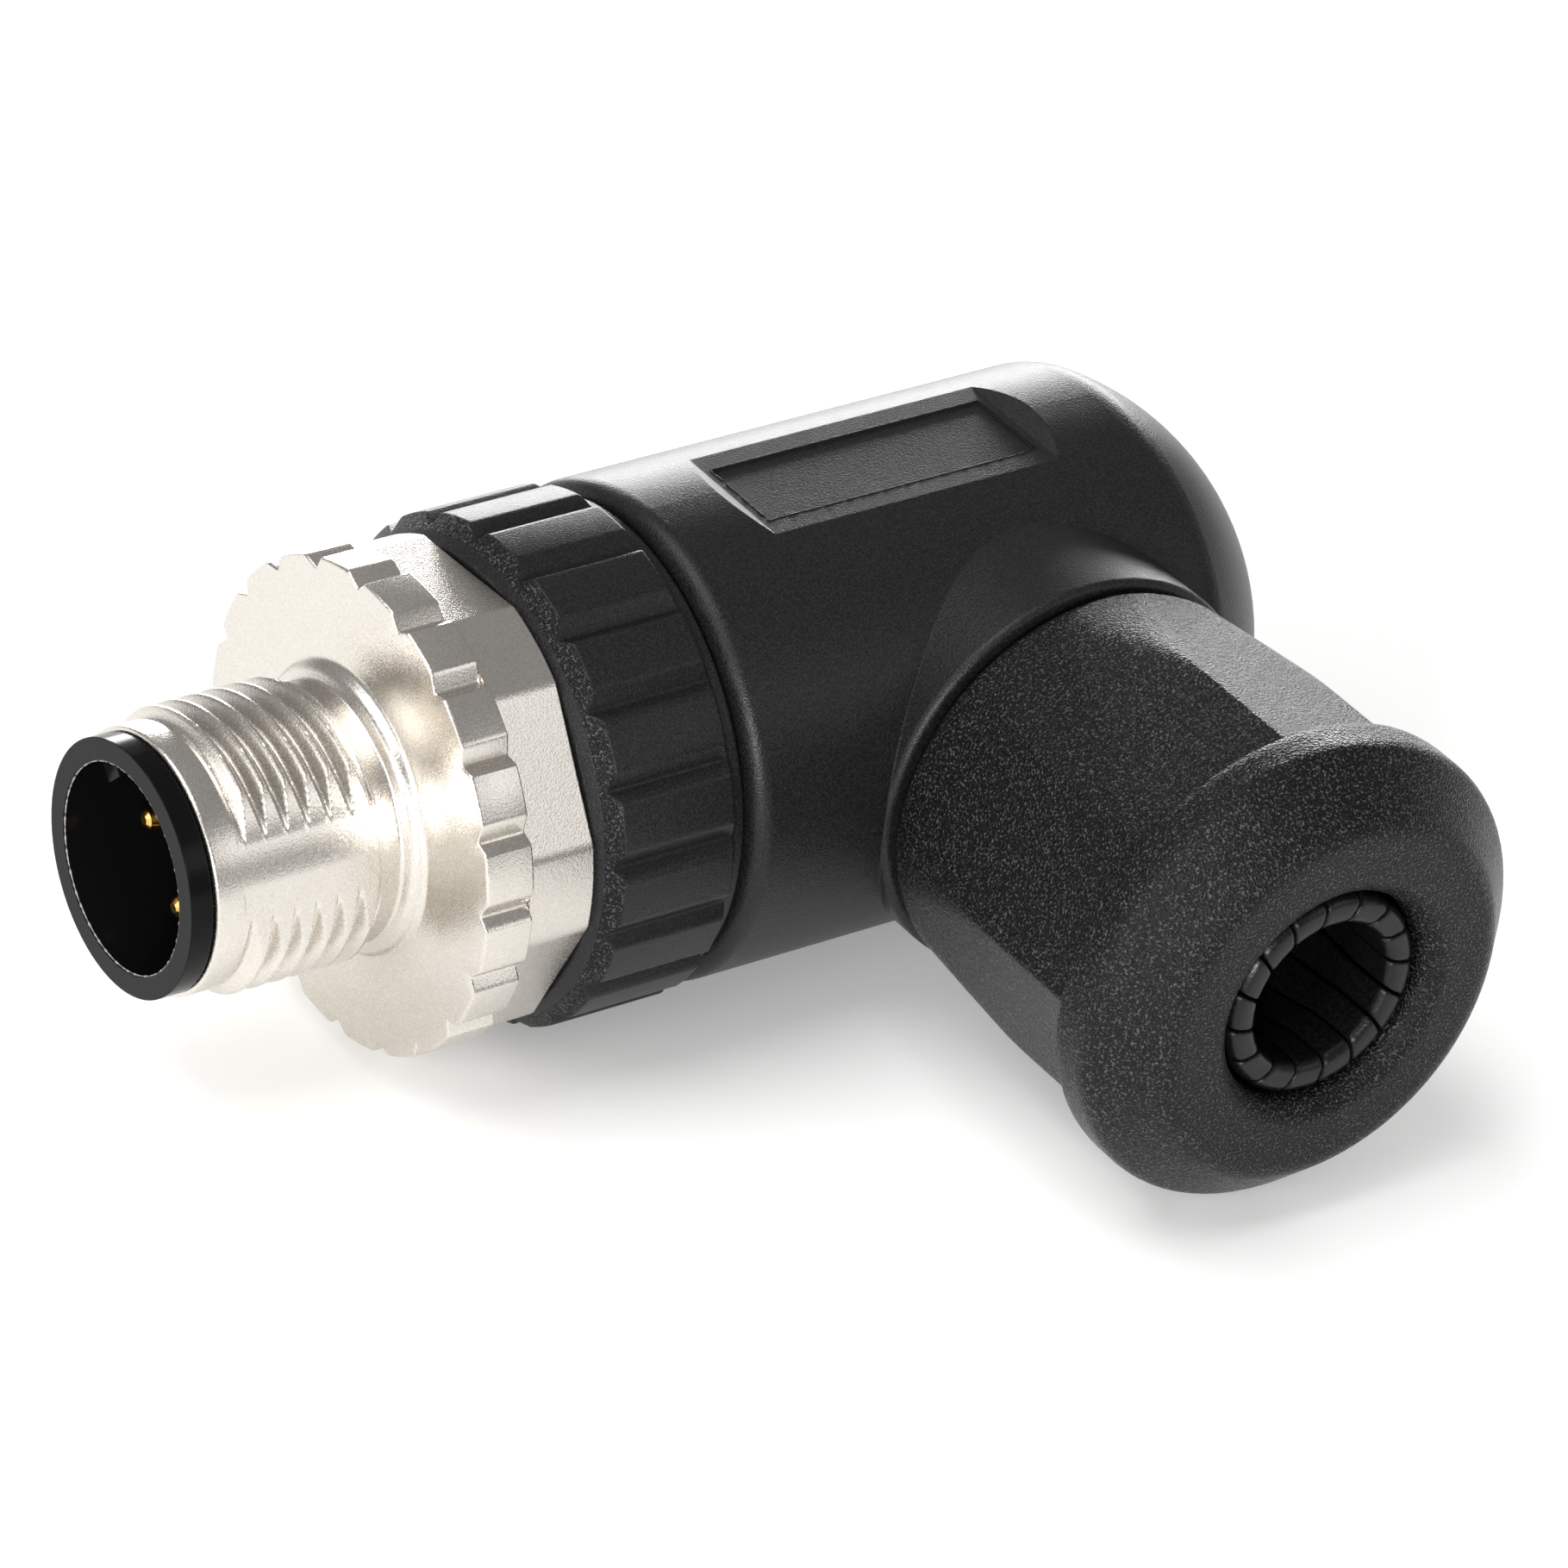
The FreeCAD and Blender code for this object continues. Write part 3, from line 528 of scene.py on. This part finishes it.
def makeGlandNut():
    facts = glandNut
    pitch = fullTurn / facts["facets"]
    # a facet's columns lie closer together towards its edges, and mirror each other
    half = np.array(facts["halfFacet"])
    facet = np.concatenate([half, -half[-2::-1]])
    centres = facts["facetAt"] + pitch * np.arange(facts["facets"])
    turn = np.sort((centres[:, None] + facet[None, :]).ravel() % fullTurn)
    along, radius, turns = turnedGrid(facts["outline"], turn)
    octagon = facts["facetHeight"] / np.cos(np.radians(nearest(turns, facts["facetAt"], pitch)))
    # soft minimum of cone and facet: half their sum less half the softened size of their difference
    gap = np.sqrt((radius - octagon) ** 2 + facts["softness"] ** 2)
    facetted = (radius + octagon - gap) / 2
    end, blend = facts["facetEnd"], facts["endBlend"]
    under = 1 - smoothStep(along, end - blend, end + blend)
    outer = (radius > facts["wallInside"]) & (along < facts["coneEnd"])
    radius = np.where(outer, facetted * under + radius * (1 - under), radius)
    places = branchFrame(along, radius, np.radians(turns)).reshape(-1, 3)
    # the whole nut wears the spark finish, whose lighter grain peaks are painted glints
    piece = meshPiece("glandNut", places, gridFaces(*along.shape), sparkBlackPaintedGlints, 40, "nut_body")
    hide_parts("gland_nut")
    return piece


clampCage = {
    # millimetres along and from the branch's axis, degrees from the top
    "fingers": 16, "slitAt": 11.5, "slitOffset": 1.27, "slitWidth": 0.10,
    "rings": [21.2, 21.8, 23.5, 25.2, 26.2, 27.2, 27.7, 27.95, 28.12, 28.26, 28.36, 28.42, 28.45],
    "outerTaper": ([21.2, 27.2], [6.95, 4.60]), "innerTaper": ([21.2, 26.2], [4.35, 3.25]),
    "aroundFinger": 28, "squareness": 0.26, "domeFrom": 27.95, "domeHeight": 0.505,
    "tipFlat": 0.30, "tipRound": 0.90,
    "ring": [(20.10, 4.60, 0.1, 0), (20.10, 7.20, 0.1, 0), (21.50, 7.20, 0.1, 0), (21.50, 4.60, 0.1, 0)],
    "aroundRing": 96,
}


def fingerPlaces(facts):
    # one finger: rings of a rounded rectangle (share of the wall, share of the finger's angle) along
    # its length; each ring shrinks over the last half millimetre so that the tip is domed
    around = np.linspace(0, 2 * np.pi, facts["aroundFinger"], endpoint=False)
    wall = 0.5 + 0.5 * np.sign(np.sin(around)) * np.abs(np.sin(around)) ** facts["squareness"]
    sweep = 0.5 + 0.5 * np.sign(np.cos(around)) * np.abs(np.cos(around)) ** facts["squareness"]
    length = np.array(facts["rings"])
    outer, inner = np.interp(length, *facts["outerTaper"]), np.interp(length, *facts["innerTaper"])
    rise = ((length - facts["domeFrom"]) / facts["domeHeight"]).clip(0, 1)
    dome = facts["tipFlat"] + (1 - facts["tipFlat"]) * np.sqrt(1 - rise ** 2)
    middle, half = (outer + inner) / 2, (outer - inner) / 2 * dome
    radius = middle[:, None] + half[:, None] * (2 * wall - 1)[None, :]
    share = 0.5 + (sweep - 0.5)[None, :] * (facts["tipRound"] + (1 - facts["tipRound"]) * dome)[:, None]
    # the slits miss the axis by one offset, so they turn further round where the wall is nearer to it
    slitAngle = np.degrees(np.arcsin(facts["slitOffset"] / radius))
    slitHalf = np.degrees(facts["slitWidth"] / 2 / radius)
    pitch = fullTurn / facts["fingers"]
    first = facts["slitAt"] + slitAngle + slitHalf + share * (pitch - 2 * slitHalf)
    turns = np.radians(first[None] + pitch * np.arange(facts["fingers"])[:, None, None])
    along = np.broadcast_to(length[None, :, None], turns.shape)
    return branchFrame(along, np.broadcast_to(radius[None], turns.shape), turns)


def fingerFaces(rows, columns):
    # quads round the finger, and strips between the two halves of its first and last ring
    i, j = np.meshgrid(np.arange(rows - 1), np.arange(columns), indexing="ij")
    corners = [i * columns + j, (i + 1) * columns + j,
               (i + 1) * columns + (j + 1) % columns, i * columns + (j + 1) % columns]
    side = np.stack(corners, axis=-1).reshape(-1, 4)
    k = np.arange(columns // 2 - 1)
    lid = np.stack([k, k + 1, columns - 2 - k, columns - 1 - k], axis=-1)
    return np.concatenate([side, lid, lid[:, ::-1] + (rows - 1) * columns])


def makeClampCage():
    facts = clampCage
    fingers = fingerPlaces(facts)
    count, rows, columns, _ = fingers.shape
    starts = (np.arange(count) * rows * columns)[:, None, None]
    faces = (fingerFaces(rows, columns)[None] + starts).reshape(-1, 4)
    turn = np.linspace(0, fullTurn, facts["aroundRing"], endpoint=False)
    along, radius, turns = turnedGrid(facts["ring"], turn)
    ring = branchFrame(along, radius, np.radians(turns))
    places = np.concatenate([fingers.reshape(-1, 3), ring.reshape(-1, 3)])
    faces = np.concatenate([faces, gridFaces(*along.shape, count * rows * columns)])
    piece = meshPiece("clampCage", places, faces, cageBlack, 50, "cage_body")
    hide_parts("clamp_cage")
    return piece


def makeFlashLine(name, path, normal, facts, material, body):
    # a thin bead along a closed flat path; its half width at each point is the thickness times one
    # plus a sum of three sines of the point's number, so that it comes and goes like torn flash
    ahead = np.roll(path, -1, axis=0) - np.roll(path, 1, axis=0)
    ahead /= np.linalg.norm(ahead, axis=1, keepdims=True)
    across = np.cross(normal, ahead)[:, None]
    step = np.arange(len(path)) * 2 * np.pi / len(path)
    wobble = np.sin(37 * step) + np.sin(61 * step + 1) + np.sin(97 * step + 2)
    half = facts["thickness"] * (1 + facts["ragged"] * wobble / 3)
    sides = 6
    section = np.linspace(0, 2 * np.pi, sides, endpoint=False)[None, :, None]
    out = across * np.cos(section) + np.asarray(normal) * np.sin(section)
    places = (path[:, None] + out * half[:, None, None]) * mm
    return meshPiece(name, places.reshape(-1, 3), gridFaces(len(path), sides), material, 60, body)


shroudFlash = {"place": 0.06, "radius": 4.42, "points": 480, "thickness": 0.030, "ragged": 0.9}


def makeShroudFlash():
    # a circle round the mouth of the shroud
    facts = shroudFlash
    turn = np.linspace(0, 2 * np.pi, facts["points"], endpoint=False)
    circle = matingFrame(np.full(len(turn), facts["place"]), facts["radius"], turn) / mm
    makeFlashLine("shroudFlash", circle, (-1.0, 0.0, 0.0), facts, flashGrey, "insert_body")


panelFlash = {
    "low": (28.55, -2.15), "high": (42.05, 2.15), "height": 10.17, "sidePoints": 130, "endPoints": 40,
    "thickness": 0.028, "ragged": 0.8,
}


def makePanelFlash():
    # a rectangle round the marker field: along one side, across, back and across again
    facts = panelFlash
    (left, low), (right, high) = facts["low"], facts["high"]
    side = np.linspace(0, 1, facts["sidePoints"], endpoint=False)
    end = np.linspace(0, 1, facts["endPoints"], endpoint=False)
    along = np.concatenate([
        left + (right - left) * side, right + 0 * end, right + (left - right) * side, left + 0 * end,
    ])
    across = np.concatenate([
        low + 0 * side, low + (high - low) * end, high + 0 * side, high + (low - high) * end,
    ])
    outline = np.column_stack([along, across, np.full(len(along), facts["height"])])
    makeFlashLine("panelFlash", outline, (0.0, 0.0, 1.0), facts, softBlack, "housing_body")


makeCouplingScrew()
makeUnionRing()
makeGlandNut()
makeClampCage()
makeShroudFlash()
makePanelFlash()
print("turned pieces set")

# floor, light and camera

studio = {
    # size in metres
    "floorSize": 2.4, "floorColour": "#FAFAF9", "floorRoughness": 0.9, "floorReflect": 0.2,
    "floorGlow": 0.08, "skyColour": "#FFFFFF", "skyStrength": 0.32,
}


def makeFloor():
    # the glow shows to the camera and in reflections, and sheds no other light on the object
    half, height = studio["floorSize"] / 2, cadBox[0][2]
    mesh = bpy.data.meshes.new("floor")
    corners = [(-half, -half, height), (half, -half, height), (half, half, height), (-half, half, height)]
    mesh.from_pydata(corners, [], [(0, 1, 2, 3)])
    floor = bpy.data.objects.new("floor", mesh)
    bpy.context.collection.objects.link(floor)
    material, tree = newMaterial("white paper sweep")
    path = addNode(tree, "ShaderNodeLightPath")
    seen = path.outputs["Is Camera Ray"]
    for ray in ("Is Glossy Ray", "Is Transmission Ray"):
        either = addNode(tree, "ShaderNodeMath", {"operation": "MAXIMUM"}, {0: seen, 1: path.outputs[ray]})
        seen = either.outputs[0]
    glow = addNode(tree, "ShaderNodeMath", {"operation": "MULTIPLY"}, {0: seen, 1: studio["floorGlow"]})
    finishMaterial(tree, {
        "Base Color": linearColour(studio["floorColour"]), "Roughness": studio["floorRoughness"],
        "Specular IOR Level": studio["floorReflect"],
        "Emission Color": linearColour("#FFFFFF"), "Emission Strength": glow.outputs[0],
    })
    mesh.materials.append(material)


def makeSky():
    world = bpy.data.worlds.new("studio")
    bpy.context.scene.world = world
    world.use_nodes = True
    tree = world.node_tree
    tree.nodes.clear()
    sky = addNode(tree, "ShaderNodeBackground", None, {
        "Color": linearColour(studio["skyColour"]), "Strength": studio["skyStrength"],
    })
    output = addNode(tree, "ShaderNodeOutputWorld")
    tree.links.new(sky.outputs[0], output.inputs["Surface"])


softboxes = {
    # place and aim in millimetres, size in metres, power in watts
    "backRight": {"place": (350, 460, 48), "aim": (25, -5, 0), "size": (0.44, 0.12), "power": 2.7},
    "overhead": {"place": (-190, 60, 560), "aim": (20, 0, 0), "size": (0.50, 0.40), "power": 2.6},
    "left": {"place": (-440, -200, 260), "aim": (30, -15, 0), "size": (0.18, 0.18), "power": 0.5},
    "key": {"place": (-280, -400, 140), "aim": (36, -25, 0), "size": (0.10, 0.10), "power": 2.2},
    "farLeft": {"place": (-470, 50, 70), "aim": (8, 0, 0), "size": (0.30, 0.26), "power": 0.6},
    "frontRight": {"place": (330, -470, 280), "aim": (25, -5, 0), "size": (0.30, 0.20), "power": 0.28},
}


def makeLights():
    for name, facts in softboxes.items():
        light = bpy.data.lights.new(name, "AREA")
        light.shape = "RECTANGLE"
        light.size, light.size_y = facts["size"]
        light.energy = facts["power"]
        lamp = bpy.data.objects.new(name, light)
        place = Vector(facts["place"]) * mm
        aim = Vector(facts["aim"]) * mm
        lamp.location = place
        lamp.rotation_euler = (aim - place).to_track_quat("-Z", "Y").to_euler()
        bpy.context.collection.objects.link(lamp)


viewpoint = {
    # millimetres and degrees, the focal length for a 36 mm wide frame
    "place": (-173.41, -263.05, 209.06), "yaw": 38.08, "pitch": 32.65, "roll": -7.11,
    "lens": 217.9, "frame": 36,
}


def makeCamera():
    yaw, pitch, roll = (math.radians(viewpoint[key]) for key in ("yaw", "pitch", "roll"))
    ahead = Vector((math.sin(yaw) * math.cos(pitch), math.cos(yaw) * math.cos(pitch), -math.sin(pitch)))
    level = Vector((math.cos(yaw), -math.sin(yaw), 0))
    down = ahead.cross(level)
    right = level * math.cos(roll) + down * math.sin(roll)
    up = -(down * math.cos(roll) - level * math.sin(roll))
    camera = bpy.data.objects.new("camera", bpy.data.cameras.new("camera"))
    turn = Matrix((right, up, -ahead)).transposed()
    camera.matrix_world = Matrix.Translation(Vector(viewpoint["place"]) * mm) @ turn.to_4x4()
    camera.data.lens = viewpoint["lens"]
    camera.data.sensor_width = viewpoint["frame"]
    camera.data.clip_start = 0.01
    bpy.context.collection.objects.link(camera)
    bpy.context.scene.camera = camera


makeFloor()
makeSky()
makeLights()
makeCamera()
bpy.context.scene.view_settings.view_transform = "Standard"
print("floor, light and camera set")
